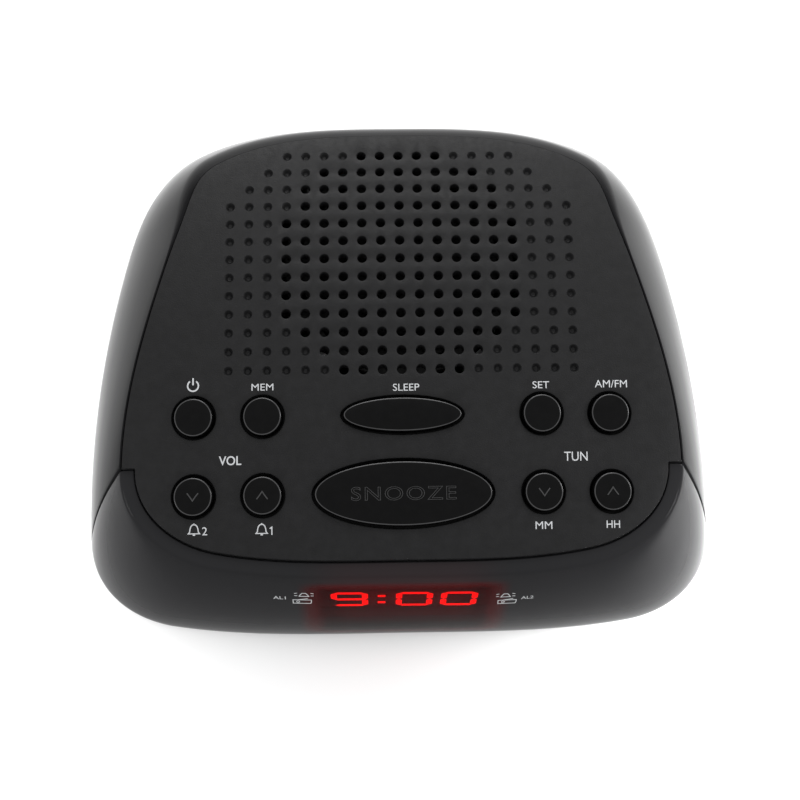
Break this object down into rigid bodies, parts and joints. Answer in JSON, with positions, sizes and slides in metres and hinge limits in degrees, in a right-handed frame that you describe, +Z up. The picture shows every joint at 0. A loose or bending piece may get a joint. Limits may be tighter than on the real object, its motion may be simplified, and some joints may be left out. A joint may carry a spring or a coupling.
{
  "type": "clock radio",
  "caption": "Bedside clock radio with a flared hood body, sloping matt top with speaker grille and press keys, and a wrap-round display lens.",
  "frame": {"origin": "middle of the footprint, on the surface that the feet rest on", "axes": "+Z up, +Y to the back, +X to the user's right as they face the display"},
  "size_m": [0.1638, 0.1442, 0.0479],
  "materials": {
    "gloss_black": "high gloss moulded",
    "matt_black": "fine matt texture",
    "key_black": "satin",
    "smoked_lens": "smoked, high gloss",
    "base_black": "moulded",
    "rubber": "matt",
    "board_green": "solder resist",
    "steel": "plated",
    "frame_black": "painted",
    "spring_steel": "nickel plated",
    "ferrite": "sintered",
    "paper_cone": "felted",
    "copper": "enamelled wire",
    "led_grey": "satin, with lit red segments",
    "switch_black": "moulded",
    "capacitor_blue": "sleeved"
  },
  "bodies": {
    "case": {"amplifier_chip": "switch_black", "antenna_coil": "copper", "band_switch": "switch_black", "battery_contact_negative": "spring_steel", "battery_contact_positive": "spring_steel", "bottom_cover": "base_black", "cabinet_shell": "gloss_black", "case_screw_back_left": "steel", "case_screw_back_right": "steel", "case_screw_front_left": "steel", "case_screw_front_right": "steel", "cord_gland": "rubber", "display_board": "board_green", "ferrite_rod": "ferrite", "filter_capacitor": "capacitor_blue", "foot_back_left": "rubber", "foot_back_right": "rubber", "foot_front_left": "rubber", "foot_front_right": "rubber", "front_lens": "smoked_lens", "key_board": "board_green", "led_display": "led_grey", "main_board": "board_green", "memory_switch": "switch_black", "power_switch": "switch_black", "set_switch": "switch_black", "sleep_switch": "switch_black", "snooze_switch": "switch_black", "speaker_clamp_screw_1": "steel", "speaker_clamp_screw_2": "steel", "speaker_clamp_screw_3": "steel", "speaker_clamp_screw_4": "steel", "speaker_cone": "paper_cone", "speaker_frame": "frame_black", "speaker_gasket": "rubber", "speaker_magnet": "ferrite", "top_panel": "matt_black", "transformer_coil": "copper", "transformer_core": "steel", "tune_down_switch": "switch_black", "tune_up_switch": "switch_black", "tuner_shield_can": "steel", "volume_down_switch": "switch_black", "volume_up_switch": "switch_black"},
    "power_key": {"power_key": "key_black"},
    "memory_key": {"memory_key": "key_black"},
    "sleep_key": {"sleep_key": "key_black"},
    "set_key": {"set_key": "key_black"},
    "band_key": {"band_key": "key_black"},
    "volume_down_key": {"volume_down_key": "key_black"},
    "volume_up_key": {"volume_up_key": "key_black"},
    "snooze_key": {"snooze_key": "key_black"},
    "tune_down_key": {"tune_down_key": "key_black"},
    "tune_up_key": {"tune_up_key": "key_black"},
    "battery_door": {"battery_door": "base_black"}
  },
  "joints": [
    {"name": "power_press", "type": "slide", "parent": "case", "child": "power_key", "axis": [0, 0.2164, -0.9763], "range_m": [0, 0.0008], "stiffness_N_per_m": 1000},
    {"name": "memory_press", "type": "slide", "parent": "case", "child": "memory_key", "axis": [0, 0.2164, -0.9763], "range_m": [0, 0.0008], "stiffness_N_per_m": 1000},
    {"name": "sleep_press", "type": "slide", "parent": "case", "child": "sleep_key", "axis": [0, 0.2164, -0.9763], "range_m": [0, 0.0008], "stiffness_N_per_m": 1500},
    {"name": "set_press", "type": "slide", "parent": "case", "child": "set_key", "axis": [0, 0.2164, -0.9763], "range_m": [0, 0.0008], "stiffness_N_per_m": 1000},
    {"name": "band_press", "type": "slide", "parent": "case", "child": "band_key", "axis": [0, 0.2164, -0.9763], "range_m": [0, 0.0008], "stiffness_N_per_m": 1000},
    {"name": "volume_down_press", "type": "slide", "parent": "case", "child": "volume_down_key", "axis": [0, 0.2164, -0.9763], "range_m": [0, 0.0008], "stiffness_N_per_m": 1000},
    {"name": "volume_up_press", "type": "slide", "parent": "case", "child": "volume_up_key", "axis": [0, 0.2164, -0.9763], "range_m": [0, 0.0008], "stiffness_N_per_m": 1000},
    {"name": "snooze_press", "type": "slide", "parent": "case", "child": "snooze_key", "axis": [0, 0.2164, -0.9763], "range_m": [0, 0.0008], "stiffness_N_per_m": 1500},
    {"name": "tune_down_press", "type": "slide", "parent": "case", "child": "tune_down_key", "axis": [0, 0.2164, -0.9763], "range_m": [0, 0.0008], "stiffness_N_per_m": 1000},
    {"name": "tune_up_press", "type": "slide", "parent": "case", "child": "tune_up_key", "axis": [0, 0.2164, -0.9763], "range_m": [0, 0.0008], "stiffness_N_per_m": 1000},
    {"name": "battery_door_hinge", "type": "hinge", "parent": "case", "child": "battery_door", "pos_m": [0, -0.04795, 0.0029], "axis": [-1, 0, 0], "range_deg": [0, 90]}
  ]
}
